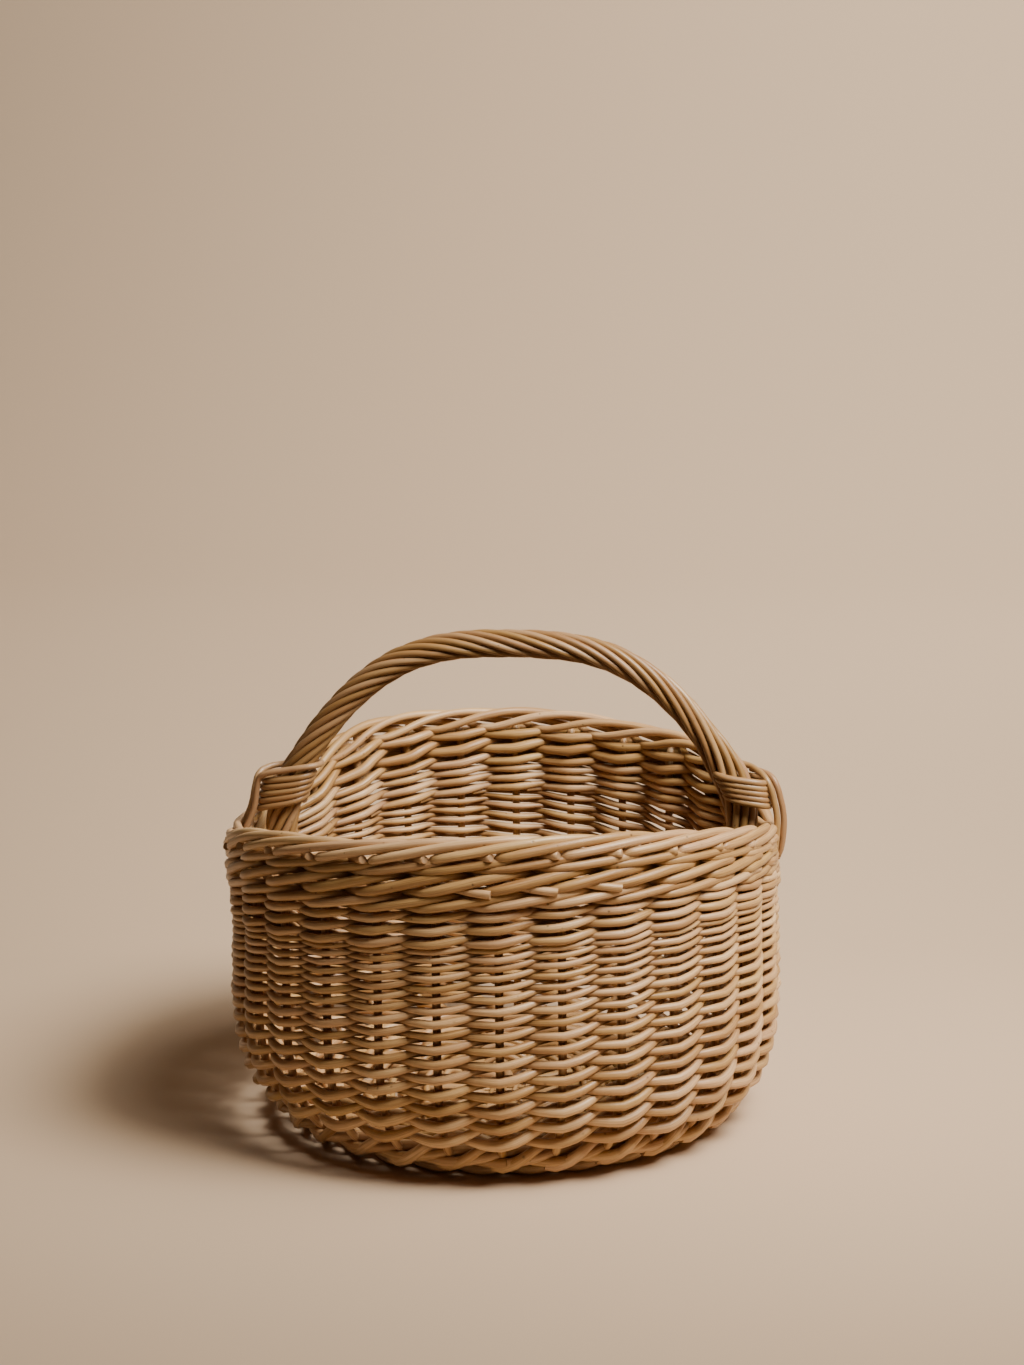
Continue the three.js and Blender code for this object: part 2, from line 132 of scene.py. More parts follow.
def rand_end(angle):
    """The height at which the rand ends and the stakes show bare."""
    rear = RAND_REAR * max(-math.cos(angle), 0) ** 2
    return RAND_TOP + RAND_LEAN * math.sin(angle) - RAND_DIP * dip_at(angle) + rear


def side_rows(samples=240):
    """The side's profile out of the foot: (length, turn) up the quarter ellipse."""
    width, height = STAKE_LINE - FOOT_RADIUS, BELLY_HEIGHT - STAKE_FLOOR
    rows, length = [(0.0, 0.0)], 0.0
    for i in range(1, samples + 1):
        turn = math.pi / 2 * i / samples
        step = math.pi / 2 / samples
        length += step * math.hypot(width * math.cos(turn), height * math.sin(turn))
        rows.append((length, turn))
    return rows


SIDE_ROWS = side_rows()
CURVED = SIDE_ROWS[-1][0]


def side_place(length, angle):
    """A place on the side by its length from the foot: point, way up, way out."""
    width, height = wall(angle) - FOOT_RADIUS, BELLY_HEIGHT - STAKE_FLOOR
    radial, up = away(angle), Vector((0, 0, 1))
    if length < CURVED:
        share = max(length, 0) / CURVED * (len(SIDE_ROWS) - 1)
        low = 0
        high = len(SIDE_ROWS) - 1
        while high - low > 1:
            middle = (low + high) // 2
            if SIDE_ROWS[middle][0] <= length:
                low = middle
            else:
                high = middle
        start, end = SIDE_ROWS[low], SIDE_ROWS[high]
        turn = mix(start[1], end[1], (max(length, 0) - start[0]) / (end[0] - start[0]))
        point = radial * (FOOT_RADIUS + width * math.sin(turn))
        point += up * (BELLY_HEIGHT - height * math.cos(turn))
        rise = (radial * width * math.cos(turn) + up * height * math.sin(turn)).normalized()
        return point, rise, radial * rise.z - up * rise.dot(radial)
    squeeze = (rand_end(angle) - BELLY_HEIGHT) / (RAND_TOP - BELLY_HEIGHT)
    point = radial * wall(angle) + up * (BELLY_HEIGHT + (length - CURVED) * squeeze)
    return point, up, radial


def painted_shading_at(point):
    """How much painted shade a place gets for lying deep in the weave: 1 between the stakes, 0
    on both faces.
    """
    angle = math.atan2(point.x, -point.y)
    reach = math.hypot(point.x, point.y)
    if point.z >= BELLY_HEIGHT:
        off = abs(reach - wall(angle))
    else:
        width, height = wall(angle) - FOOT_RADIUS, BELLY_HEIGHT - STAKE_FLOOR
        across, down = (reach - FOOT_RADIUS) / width, (BELLY_HEIGHT - point.z) / height
        off = abs(across ** 2 + down ** 2 - 1) / (2 * math.hypot(across / width, down / height))
    inside = (PAINTED_SHADE_REACH - off) / PAINTED_SHADE_GROWS
    below = (rim_top(angle) - BORDER_DEPTH - point.z) / PAINTED_SHADE_RIM
    return min(max(inside, 0), 1) * min(max(below, 0), 1)


class Piece:
    """A mesh that rods are added to, each with its own tone."""

    def __init__(self, name, sides=8):
        self.name = name
        self.sides = sides
        self.mesh = bmesh.new()
        self.tone = self.mesh.verts.layers.float.new("rod_tone")
        self.uv = self.mesh.loops.layers.uv.new("UVMap")
        self.chance = random.Random(name)

    def vary(self, amount):
        return self.chance.uniform(-amount, amount)

    def rod(self, path, radii, kinks=(), steps=2):
        """Adds a rod through its path, with sharp turns at the kinks.

        It is a bevelled curve made into mesh, with some steps from place to place.
        """
        curve = bpy.data.curves.new("rod", "CURVE")
        curve.dimensions = "3D"
        curve.bevel_depth = 1.0
        curve.bevel_resolution = self.sides // 2 - 2
        curve.use_fill_caps = True
        curve.resolution_u = steps
        spline = curve.splines.new("BEZIER")
        spline.bezier_points.add(len(path) - 1)
        for point, place, radius in zip(spline.bezier_points, path, radii):
            point.co = place
            point.radius = radius
            point.handle_left_type = point.handle_right_type = "AUTO"
        for place in kinks:
            point = spline.bezier_points[place]
            point.handle_left_type = point.handle_right_type = "VECTOR"
        holder = bpy.data.objects.new("rod", curve)
        tube = bpy.data.meshes.new_from_object(holder)
        first_face, first_vert = len(self.mesh.faces), len(self.mesh.verts)
        self.mesh.from_mesh(tube)
        bpy.data.objects.remove(holder)
        bpy.data.curves.remove(curve)
        bpy.data.meshes.remove(tube)
        self.mesh.faces.ensure_lookup_table()
        self.mesh.verts.ensure_lookup_table()
        length = sum((b - a).length for a, b in zip(path, path[1:]))
        # Each rod has its own stretch of the fibres and its own tone
        start = self.chance.uniform(0, 20)
        tone = self.chance.random()
        faces, verts = self.mesh.faces[first_face:], self.mesh.verts[first_vert:]
        for vert in verts:
            vert[self.tone] = tone
        cap_faces = self.sides - 2
        for face in faces[2 * cap_faces:]:
            face.smooth = True
            for loop in face.loops:
                loop[self.uv].uv.x = start + loop[self.uv].uv.x * length
        self.cut_end(faces[:cap_faces])
        self.cut_end(faces[cap_faces:2 * cap_faces])
        bmesh.ops.remove_doubles(self.mesh, verts=verts, dist=2e-6)

    def cut_end(self, faces):
        """Gives a cut end its own finish, on a disc of texture coordinates."""
        corners = [loop.vert.co for face in faces for loop in face.loops]
        middle = sum(corners, Vector()) / len(corners)
        across = (corners[0] - middle).normalized()
        beside = faces[0].normal.cross(across)
        for face in faces:
            face.smooth = False
            face.material_index = 1
            for loop in face.loops:
                spoke = loop.vert.co - middle
                reach = max(spoke.length, 1e-9)
                loop[self.uv].uv = (spoke.dot(across) / reach, spoke.dot(beside) / reach)

    def finish(self, nodes, slot, finish, shading_strength=0.0):
        """Makes the object, which stands for its CAD nodes and rides with them."""
        # Painted shade: each vertex gets how dark it is painted for lying deep between the
        # stakes
        painted_shading = self.mesh.verts.layers.float.new("rod_hidden")
        if shading_strength:
            for vert in self.mesh.verts:
                vert[painted_shading] = shading_strength * painted_shading_at(vert.co)
        bmesh.ops.recalc_face_normals(self.mesh, faces=self.mesh.faces)
        mesh = bpy.data.meshes.new(self.name)
        self.mesh.to_mesh(mesh)
        self.mesh.free()
        mesh.materials.append(willow_finish(finish))
        mesh.materials.append(cut_finish())
        piece = bpy.data.objects.new(self.name, mesh)
        bpy.context.scene.collection.objects.link(piece)
        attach(piece, "root")
        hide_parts(*nodes)
        return piece


# Colours inside the willow's pattern, and how much of the painted shade deep in the weave shows
PAINTED_SHADE, PAINTED_SHADE_SHARE = (0.30, 0.19, 0.115, 1), 0.62
SPECK = (0.07, 0.032, 0.012, 1)
DUST = (0.33, 0.25, 0.17, 1)


def link(tree, *pairs):
    for start, end in pairs:
        tree.links.new(start, end)


def math_node(tree, operation, first, second=None, clamp=False):
    node = tree.nodes.new("ShaderNodeMath")
    node.operation = operation
    node.use_clamp = clamp
    for socket, value in zip(node.inputs, (first, second)):
        if isinstance(value, (int, float)):
            socket.default_value = value
        elif value is not None:
            tree.links.new(value, socket)
    return node.outputs[0]


def noise_node(tree, vector, detail=3.0, roughness=0.6, scale=1.0):
    node = tree.nodes.new("ShaderNodeTexNoise")
    node.inputs["Scale"].default_value = scale
    node.inputs["Detail"].default_value = detail
    node.inputs["Roughness"].default_value = roughness
    tree.links.new(vector, node.inputs["Vector"])
    return node.outputs["Fac"]


def range_node(tree, value, low, high, start=0.0, end=1.0):
    """Maps the values from low to high onto those from start to end."""
    node = tree.nodes.new("ShaderNodeMapRange")
    for socket, number in zip(node.inputs[1:5], (low, high, start, end)):
        socket.default_value = number
    tree.links.new(value, node.inputs[0])
    return node.outputs[0]


def mix_colour(tree, factor, first, second, blend="MIX"):
    node = tree.nodes.new("ShaderNodeMix")
    node.data_type = "RGBA"
    node.blend_type = blend
    sockets = [s for s in node.inputs if s.type == "RGBA"]
    for socket, value in zip([node.inputs[0]] + sockets, (factor, first, second)):
        if isinstance(value, bpy.types.NodeSocket):
            tree.links.new(value, socket)
        else:
            socket.default_value = value
    return [s for s in node.outputs if s.type == "RGBA"][0]


def willow_group():
    """Peeled willow: fibres along the rod, blotches, specks, each rod's tone, dust and painted
    shade deep in the weave.
    """
    found = bpy.data.node_groups.get("peeled willow rod")
    if found:
        return found
    tree = bpy.data.node_groups.new("peeled willow rod", "ShaderNodeTree")
    for name, kind in (("Colour", "NodeSocketColor"), ("Shade", "NodeSocketColor"),
                       ("Fibres", "NodeSocketFloat"), ("Specks", "NodeSocketFloat"),
                       ("Dust", "NodeSocketFloat")):
        tree.interface.new_socket(name, in_out="INPUT", socket_type=kind)
    for name, kind in (("Colour", "NodeSocketColor"), ("Roughness", "NodeSocketFloat"),
                       ("Height", "NodeSocketFloat")):
        tree.interface.new_socket(name, in_out="OUTPUT", socket_type=kind)
    given = tree.nodes.new("NodeGroupInput")
    result = tree.nodes.new("NodeGroupOutput")
    uv = tree.nodes.new("ShaderNodeUVMap")
    uv.uv_map = "UVMap"
    tone = tree.nodes.new("ShaderNodeAttribute")
    tone.attribute_name = "rod_tone"
    parts = tree.nodes.new("ShaderNodeSeparateXYZ")
    link(tree, (uv.outputs[0], parts.inputs[0]))
    around = math_node(tree, "MULTIPLY", parts.outputs[1], math.tau)
    cosine = math_node(tree, "COSINE", around)
    sine = math_node(tree, "SINE", around)

    def on_rod(along, across):
        node = tree.nodes.new("ShaderNodeCombineXYZ")
        link(tree, (math_node(tree, "MULTIPLY", parts.outputs[0], along), node.inputs[0]),
             (math_node(tree, "MULTIPLY", cosine, across), node.inputs[1]),
             (math_node(tree, "MULTIPLY", sine, across), node.inputs[2]))
        return node.outputs[0]

    fibre = noise_node(tree, on_rod(26, 4.4), 4, 0.65)
    blotch = noise_node(tree, on_rod(16, 0.55), 2, 0.5)
    tint = noise_node(tree, on_rod(4, 0.2), 1, 0.5)
    cells = tree.nodes.new("ShaderNodeTexVoronoi")
    cells.inputs["Scale"].default_value = 1.0
    link(tree, (on_rod(210, 0.62), cells.inputs["Vector"]))
    chosen = tree.nodes.new("ShaderNodeSeparateColor")
    link(tree, (cells.outputs["Color"], chosen.inputs[0]))
    dot = range_node(tree, cells.outputs["Distance"], 0.10, 0.24, 1, 0)
    speck = math_node(tree, "MULTIPLY", dot,
                      range_node(tree, chosen.outputs[0], 0.9, 0.96))
    speck = math_node(tree, "MULTIPLY", speck, given.outputs["Specks"])
    streak = range_node(tree, fibre, 0.42, 0.72)
    streak = math_node(tree, "MULTIPLY", streak, given.outputs["Fibres"])
    cloudy = math_node(tree, "MULTIPLY", range_node(tree, blotch, 0.45, 0.75), 0.35)
    shade = math_node(tree, "ADD", streak, cloudy, clamp=True)
    colour = mix_colour(tree, shade, given.outputs["Colour"], given.outputs["Shade"])
    # Painted shade: the colour is darkened deep in the weave, between the stakes, where shade
    # falls
    painted_shading = tree.nodes.new("ShaderNodeAttribute")
    painted_shading.attribute_name = "rod_hidden"
    darkening = math_node(tree, "MULTIPLY", painted_shading.outputs["Fac"], PAINTED_SHADE_SHARE)
    colour = mix_colour(tree, darkening, colour, PAINTED_SHADE, "MULTIPLY")
    bright = tree.nodes.new("ShaderNodeHueSaturation")
    value = range_node(tree, tone.outputs["Fac"], 0, 1, 0.8, 1.16)
    value = math_node(tree, "MULTIPLY", value, range_node(tree, tint, 0.3, 0.7, 0.92, 1.08))
    hue = range_node(tree, tint, 0.3, 0.7, 0.494, 0.506)
    full = range_node(tree, tone.outputs["Fac"], 0, 1, 1.12, 0.94)
    link(tree, (colour, bright.inputs["Color"]), (value, bright.inputs["Value"]),
         (hue, bright.inputs["Hue"]), (full, bright.inputs["Saturation"]))
    spotted = mix_colour(tree, speck, bright.outputs[0], SPECK)
    ground = tree.nodes.new("ShaderNodeTexCoord")
    dusty = noise_node(tree, ground.outputs["Object"], 3, 0.6, 30)
    dusty = math_node(tree, "MULTIPLY", range_node(tree, dusty, 0.4, 0.8),
                      given.outputs["Dust"])
    faded = mix_colour(tree, dusty, spotted, DUST)
    rough = math_node(tree, "ADD", range_node(tree, blotch, 0.3, 0.7, 0.34, 0.5),
                      math_node(tree, "MULTIPLY", dusty, 0.3))
    link(tree, (faded, result.inputs["Colour"]), (rough, result.inputs["Roughness"]),
         (math_node(tree, "SUBTRACT", fibre, speck), result.inputs["Height"]))
    return tree


# By finish: its colour, then how strong its fibres, specks, dust, coat and bump are
FINISHES = {"woven willow": ("weave", 0.7, 0.6, 0.0, 0.12, 0.45),
            "stake willow": ("stake", 0.85, 0.7, 0.0, 0.15, 0.5),
            "handle willow": ("handle", 0.75, 0.5, 0.0, 0.2, 0.4),
            "base willow": ("base", 0.6, 0.5, 0.35, 0.0, 0.4)}


def willow_finish(name):
    """A willow material from the shared group, with plain values on the shader."""
    found = bpy.data.materials.get(name)
    if found:
        return found
    colours = bpy.context.scene.basket_colours
    colour, fibres, specks, dust, coat, bump = FINISHES[name]
    material = bpy.data.materials.new(name)
    material.use_nodes = True
    tree = material.node_tree
    shader = tree.nodes["Principled BSDF"]
    group = tree.nodes.new("ShaderNodeGroup")
    group.node_tree = willow_group()
    group.inputs["Colour"].default_value = (*getattr(colours, colour), 1)
    group.inputs["Shade"].default_value = (*colours.shade, 1)
    for socket, value in (("Fibres", fibres), ("Specks", specks), ("Dust", dust)):
        group.inputs[socket].default_value = value
    shader.inputs["Coat Weight"].default_value = coat
    shader.inputs["Coat Roughness"].default_value = 0.32
    shader.inputs["Specular IOR Level"].default_value = 0.45
    relief = tree.nodes.new("ShaderNodeBump")
    relief.inputs["Strength"].default_value = bump
    relief.inputs["Distance"].default_value = 0.0005
    link(tree, (group.outputs["Colour"], shader.inputs["Base Color"]),
         (group.outputs["Roughness"], shader.inputs["Roughness"]),
         (group.outputs["Height"], relief.inputs["Height"]),
         (relief.outputs[0], shader.inputs["Normal"]))
    return material


def cut_finish():
    """A rod's cut end: pale wood with a dark pith and a darker skin."""
    found = bpy.data.materials.get("cut willow")
    if found:
        return found
    colours = bpy.context.scene.basket_colours
    material = bpy.data.materials.new("cut willow")
    material.use_nodes = True
    tree = material.node_tree
    shader = tree.nodes["Principled BSDF"]
    uv = tree.nodes.new("ShaderNodeUVMap")
    uv.uv_map = "UVMap"
    length = tree.nodes.new("ShaderNodeVectorMath")
    length.operation = "LENGTH"
    link(tree, (uv.outputs[0], length.inputs[0]))
    grain = noise_node(tree, uv.outputs[0], 3, 0.7, 5)
    ring = math_node(tree, "ADD", length.outputs["Value"],
                     math_node(tree, "MULTIPLY", grain, 0.3))
    colour = mix_colour(tree, range_node(tree, ring, 0.75, 1.15), (*colours.cut, 1),
                        (*colours.shade, 1))
    link(tree, (colour, shader.inputs["Base Color"]))
    shader.inputs["Roughness"].default_value = 0.75
    return material


class BasketSizes(bpy.types.PropertyGroup):
    weaver_butt: FloatProperty(
        name="Weaver butt", description="Thickness of the side weavers at the foot",
        default=0.0086, min=0.003, max=0.01, unit="LENGTH")
    weaver_tip: FloatProperty(
        name="Weaver tip", description="Thickness of the side weavers at their top",
        default=0.0043, min=0.002, max=0.006, unit="LENGTH")
    stake: FloatProperty(
        name="Stake", description="Thickness of the upright stakes",
        default=0.0061, min=0.004, max=0.008, unit="LENGTH")
    border: FloatProperty(
        name="Border rod", description="Thickness of the stakes where they form the border",
        default=0.0066, min=0.004, max=0.009, unit="LENGTH")
    rope: FloatProperty(
        name="Rope rod", description="Thickness of the rods wound round the bow",
        default=0.0053, min=0.003, max=0.007, unit="LENGTH")
    binding: FloatProperty(
        name="Binding", description="Thickness of the rods that bind the handle's feet",
        default=0.0052, min=0.003, max=0.007, unit="LENGTH")
    unevenness: FloatProperty(
        name="Unevenness", description="How much rods wander from their even places",
        default=1.0, min=0.0, max=3.0)


class BasketColours(bpy.types.PropertyGroup):
    weave: FloatVectorProperty(
        name="Weave", description="Colour of the side weavers",
        subtype="COLOR", default=(0.65, 0.415, 0.2), min=0, max=1)
    stake: FloatVectorProperty(
        name="Stakes", description="Colour of the stakes, the border and the wale",
        subtype="COLOR", default=(0.62, 0.395, 0.188), min=0, max=1)
    handle: FloatVectorProperty(
        name="Handle", description="Colour of the handle, ears and bindings",
        subtype="COLOR", default=(0.38, 0.23, 0.108), min=0, max=1)
    base: FloatVectorProperty(
        name="Base", description="Colour of the base sticks and their weavers",
        subtype="COLOR", default=(0.5, 0.3, 0.13), min=0, max=1)
    shade: FloatVectorProperty(
        name="Fibres", description="Darker colour in the fibres and blotches",
        subtype="COLOR", default=(0.34, 0.17, 0.065), min=0, max=1)
    cut: FloatVectorProperty(
        name="Cut ends", description="Colour of the rods' cut ends",
        subtype="COLOR", default=(0.36, 0.22, 0.11), min=0, max=1)
    floor: FloatVectorProperty(
        name="Floor", description="Colour of the floor and the backdrop",
        subtype="COLOR", default=(0.61, 0.455, 0.31), min=0, max=1)


# Side weave

# The stakes that a weaver passes, and how far it runs before the first and past the last
RAND_STEPS = 32
RAND_BEFORE, RAND_PAST = 0.35, 0.85
# Its length up the side at its first stake and two stakes on, then its rise for
# each two stakes, low down and at the top. It starts with a rise of its own.
RAND_FIRST, RAND_SECOND = 0.024, 0.048
RAND_PITCH_LOW, RAND_PITCH_HIGH = 0.0130, 0.0056
RAND_START_RISE = 0.012
# How the weavers wander up and down and in and out, how their thickness varies,
# and how fast they taper
RAND_WOBBLE, RAND_SWING, RAND_THICKNESS, RAND_TAPER = 0.0004, 0.0003, 0.08, 0.85
# A weaver's thickness between two stakes, and what it gains in front of one
RAND_THIN, RAND_SWELL = 0.82, 0.2
# By the share of the way to the next stake: how far out of the stakes' line, and
# how far over an even rise, or under it, as a share of the pitch
GOING_IN = ((0, 1.0, -0.27), (0.25, 0.86, -0.19), (0.55, 0.2, -0.03), (0.8, -0.6, -0.06))
COMING_OUT = ((0, -1.0, -0.1), (0.25, -0.72, -0.076), (0.5, 0.12, -0.05), (0.8, 0.8, -0.15))


def rand_length(passed):
    """How far up the side a weaver is after passing some stakes."""
    if passed < 2:
        return mix(RAND_FIRST, RAND_SECOND, passed / 2)
    rounds = (passed - 2) / 2
    total = (RAND_STEPS - 2) / 2
    fall = (RAND_PITCH_HIGH - RAND_PITCH_LOW) / total
    return RAND_SECOND + rounds * (RAND_PITCH_LOW + fall * rounds / 2)


def weaver_path(piece, index, sizes):
    """One side weaver: in front of one stake and behind the next, always rising."""
    path, radii, kinks = [], [], []
    wobble = [piece.vary(RAND_WOBBLE) * sizes.unevenness for _ in range(RAND_STEPS + 3)]
    lean = [piece.vary(RAND_SWING) * sizes.unevenness for _ in range(RAND_STEPS + 3)]
    thick = 1 + piece.vary(RAND_THICKNESS) * sizes.unevenness
    for n in range(-1, RAND_STEPS + 1):
        in_front = n % 2 == 0
        for part, out, drop in GOING_IN if in_front else COMING_OUT:
            passed = n + part
            if passed < -RAND_BEFORE or passed > RAND_STEPS + RAND_PAST:
                continue
            angle = stake_angle(index + passed)
            length = rand_length(max(passed, 0)) + min(passed, 0) * RAND_START_RISE
            share = max(passed, 0) / RAND_STEPS
            radius = thick * mix(sizes.weaver_butt, sizes.weaver_tip, share ** RAND_TAPER) / 2
            pitch = rand_length(max(passed, 0) + 2) - rand_length(max(passed, 0))
            offset = sizes.stake / 2 + radius + CLEARANCE + mix(lean[n + 1], lean[n + 2], part)
            point, rise, outwards = side_place(length, angle)
            shift = drop * pitch + mix(wobble[n + 1], wobble[n + 2], part)
            point = point + rise * shift + outwards * (offset * out)
            if part == 0 and in_front:
                kinks.append(len(path))
            path.append(point)
            radii.append(radius * (RAND_THIN + RAND_SWELL * abs(out)))
    return path, radii, kinks


# The rows at the foot: the coil that the basket stands on and the row inside it, by
# their reach and how far they swing in and out, their height and how far they
# swing up and down
FOOT_ROD = 0.0037
FOOT_SHIFT = 0.02
FOOT_COIL = (0.1515, 0.0068, 0.0098, 0.0061)
FOOT_INSIDE = (0.1385, 0.0045, 0.0112, 0.0058)
# The row over the coil: its length up the side and how far it swings up and down,
# how late that swing comes, how far it swings in and out, and how far out it is
FOOT_OVER = (0.0205, 0.0032, 0.6, 0.0056, 0.0006)


def foot_place(row, angle, turn):
    """A place on a rod that winds round the middle line of its row."""
    reach, sideways, height, upwards = row
    middle = away(angle) * (reach + sideways * math.cos(turn))
    return middle + Vector((0, 0, height + upwards * math.sin(turn)))


def foot_rods(piece):
    """Three rods waled round the stakes at the foot, three over them and three inside."""
    length, swing, late, sideways, shift = FOOT_OVER
    for strand in range(3):
        coil, over, inside = [], [], []
        for i in range(STAKES * 3 + 1):
            angle = stake_angle(i / 3) + FOOT_SHIFT
            turn = math.tau * (i / 9 + strand / 3)
            coil.append(foot_place(FOOT_COIL, angle, turn))
            inside.append(foot_place(FOOT_INSIDE, angle, turn))
            place, _, outwards = side_place(length + swing * math.sin(turn + late), angle)
            over.append(place + outwards * (sideways * math.cos(turn) + shift))
        for path in (coil, over, inside):
            piece.rod(path, [FOOT_ROD] * len(path))


class WeaveSide(bpy.types.Operator):
    """Weave the side from one rod for each stake, and the coil under it"""

    bl_idname = "basket.weave_side"
    bl_label = "Weave the Side"

    def execute(self, context):
        sizes = context.scene.basket_sizes
        piece = Piece("woven_side")
        for index in range(STAKES):
            piece.rod(*weaver_path(piece, index, sizes))
        foot_rods(piece)
        piece.finish(["side_weave"], "peeled_willow", "woven willow", shading_strength=1.0)
        return {"FINISHED"}


# Stakes and border

# A stake's first two places in the base, its end beside a base stick, and the
# lengths up the side of the places above them
STAKE_START, STAKE_BEND = 0.126, 0.139
BESIDE_STICK, STICK_END = 0.0073, 0.1317
STAKE_LENGTHS = (0.006, 0.022, 0.04, 0.058, 0.076, 0.096, 0.125, 0.155, 0.185)
# How much higher or lower a border rod lies, how its thickness varies, the share of
# it at the cut end, and the stakes passed before it tapers and while it does
BORDER_LIFT, BORDER_VARIES, BORDER_TIP = 0.0005, 0.05, 0.85
BORDER_TAPERS, BORDER_TAPER_LENGTH = 1.5, 2.4
# A stake's top, by the stakes it has passed: height over the rim, reach past the
# stakes' line
BORDER_STROKE = ((0.0, -0.026, 0.0), (0.0, -0.0190, 0.0012), (0.03, -0.0145, 0.0062),
                 (0.22, -0.0124, 0.0082), (0.6, -0.0097, 0.0080), (1.0, -0.0068, 0.0074),
                 (1.5, -0.0043, 0.0055), (2.0, -0.0032, 0.0019), (2.45, -0.0046, -0.0028),
                 (2.85, -0.0082, -0.0056), (3.2, -0.0128, -0.0058), (3.5, -0.0156, -0.0026),
                 (3.75, -0.0146, 0.0044), (3.92, -0.0129, 0.0104))


def foot_angle(index):
    """Where a stake starts, beside its base stick inside the foot."""
    towards = 1 if index % 2 == 0 else -1
    return stake_angle(index) + towards * (STEP / 2 - BESIDE_STICK / STICK_END)


def stake_path(index, piece, sizes):
    """A stake from beside its base stick, up the side and down into the border."""
    upright = stake_angle(index)
    thick = sizes.stake / 2
    floor = Vector((0, 0, STAKE_FLOOR))
    path = [away(foot_angle(index)) * STAKE_START + floor,
            away(mix(foot_angle(index), upright, 0.5)) * STAKE_BEND + floor]
    path += [side_place(length, upright)[0] for length in STAKE_LENGTHS]
    radii = [thick] * len(path)
    lift = piece.vary(BORDER_LIFT) * sizes.unevenness
    border = sizes.border / 2 * (1 + piece.vary(BORDER_VARIES))
    for passed, height, out in BORDER_STROKE:
        angle = stake_angle(index + passed)
        point = away(angle) * (wall(angle) + out * standing_out(angle))
        point.z = rim_top(angle) + height + (lift if passed > 0.3 else 0)
        path.append(point)
        taper = max(passed - BORDER_TAPERS, 0) / BORDER_TAPER_LENGTH
        radii.append(mix(border, border * BORDER_TIP, taper) if passed > 0 else thick)
    return path, radii


class LayStakes(bpy.types.Operator):
    """Set the upright stakes and lay their tops into the border"""

    bl_idname = "basket.lay_stakes"
    bl_label = "Set Stakes and Border"

    def execute(self, context):
        sizes = context.scene.basket_sizes
        for index in range(STAKES):
            name = f"stake_{index + 1:02d}"
            piece = Piece("willow_" + name, sides=10)
            path, radii = stake_path(index, piece, sizes)
            piece.rod(path, radii, steps=3)
            piece.finish([name], "stake_willow", "stake willow", shading_strength=0.35)
        return {"FINISHED"}


# Top wale

# Rows of two rods and of three, by their share of the band between the rand and the
# border, their rise as a share of that band, and the rods' thickness
PAIRS = ((0.078, 0.06, 0.0064), (0.222, 0.06, 0.0064), (0.362, 0.05, 0.0061))
WALES = ((0.524, 0.136, 0.0065), (0.733, 0.199, 0.0075), (0.924, 0.11, 0.0063))
# By the stakes that a rod has passed in its round: how far out of the stakes' line,
# and how far above the middle of its row
PAIR_OUT = ((0, -1.0), (0.25, -0.6), (0.5, 0.15), (0.75, 0.78), (1, 1.0), (1.25, 0.8),
            (1.5, 0.15), (1.75, -0.6), (2, -1.0))
PAIR_RISE = ((0, 0.0), (0.5, -0.5), (0.75, -0.42), (1, -0.32), (1.25, 0.1), (1.5, 0.5), (2, 0.0))
WALE_OUT = ((0, -1.0), (0.3, -0.65), (0.55, -0.1), (0.75, 0.7), (0.9, 1.08), (1.2, 1.25),
            (1.6, 1.15), (2, 1.02), (2.2, 0.8), (2.4, 0.2), (2.6, -0.4), (2.8, -0.85), (3, -1.0))
WALE_RISE = ((0, -0.35), (0.3, -0.5), (0.7, -0.52), (1, -0.36), (2, 0.36), (2.2, 0.46),
             (2.4, 0.42), (2.7, 0.1), (3, -0.35))
# The places that a rod has for each stake, and how far it runs past its start
ROW_PLACES = 5
ROW_PAST = 0.2
# How its thickness varies and how it wanders up and down
ROW_VARIES, ROW_WANDER = 0.05, 0.0003
# Its thickness in a narrow band, and the height of a full one
NARROW_BAND, FULL_BAND = 0.85, 0.064
# Its thickness between two stakes, and what it gains in front of one
ROW_THIN, ROW_SWELL = 0.8, 0.24
# At the back, the rods rise less, and the rows over a share of the band are thicker
REAR_LEVEL, REAR_SWELL, REAR_FROM = 0.3, 0.4, 0.4
# Three cut ends in the wale, by share of the band and thickness, and by the stakes
# passed, the reach past the stakes' line and the height
STUB_SHARE, STUB_ROD = 0.63, 0.0031
STUB = ((-0.95, -0.002, 0.0035), (-0.65, 0.0035, 0.0025), (-0.4, 0.0078, 0.001),
        (-0.1, 0.0108, -0.0006))


def band_place(share, angle):
    """A height in the band between the rand and the border, and the band's own."""
    low = rand_end(angle)
    high = rim_top(angle) - BORDER_DEPTH
    return low + (high - low) * share, high - low


def row_path(piece, start, row, outs, rises, period, sizes, first, last):
    """A rod of a pairing or waling row, round the stakes from first to last."""
    share, rise, thickness = row
    path, radii = [], []
    thick = thickness / 2 * (1 + piece.vary(ROW_VARIES) * sizes.unevenness)
    wander = [piece.vary(ROW_WANDER) * sizes.unevenness for _ in range(STAKES * 2)]
    for i in range(int(first * ROW_PLACES), int(last * ROW_PLACES) + 1):
        passed = i / ROW_PLACES
        phase = (passed - start) % period
        angle = stake_angle(passed)
        rear = max(-math.cos(angle), 0)
        height, band = band_place(share, angle)
        tight = mix(NARROW_BAND, 1.0, min(band / FULL_BAND, 1))
        offset = sizes.stake / 2 + thick * tight + CLEARANCE
        out = between(outs, phase)
        reach = offset * out * (standing_out(angle) if out > 1 else 1)
        point = away(angle) * (wall(angle) + reach)
        climb = rise * band * between(rises, phase) * (1 - REAR_LEVEL * rear)
        point.z = height + climb + wander[i // ROW_PLACES]
        path.append(point)
        swell = ROW_THIN + ROW_SWELL * min(abs(out), 1)
        rear_swell = 1 + REAR_SWELL * rear * max(share - REAR_FROM, 0)
        radii.append(thick * tight * swell * rear_swell)
    return path, radii


